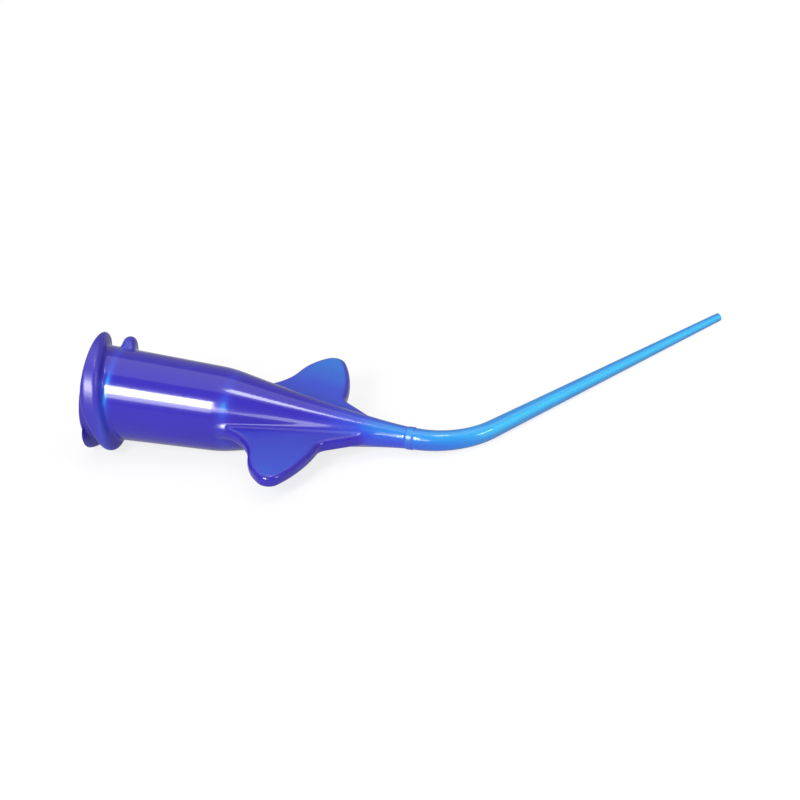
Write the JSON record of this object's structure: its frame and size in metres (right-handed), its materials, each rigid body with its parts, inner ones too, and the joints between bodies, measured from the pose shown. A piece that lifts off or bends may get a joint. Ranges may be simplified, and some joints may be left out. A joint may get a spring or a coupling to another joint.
{
  "type": "dental irrigation tip",
  "caption": "Moulded dental irrigation tip with a tapered syringe socket, lock lugs, a nose cone with flat finger wings and a fine bent tube that narrows to its open end.",
  "frame": {"origin": "centre of the syringe socket's mouth", "axes": "the tip lies on a table below +Z, the hub points along +X with its nose down to the table, and the tube bends towards +Y"},
  "size_m": [0.038, 0.0284, 0.0078],
  "materials": {
    "blue_polypropylene": "glossy translucent moulded polypropylene, deep violet blue where it is thick and azure where it is thin"
  },
  "bodies": {
    "root": {"irrigation_tip": "blue_polypropylene"}
  },
  "joints": []
}
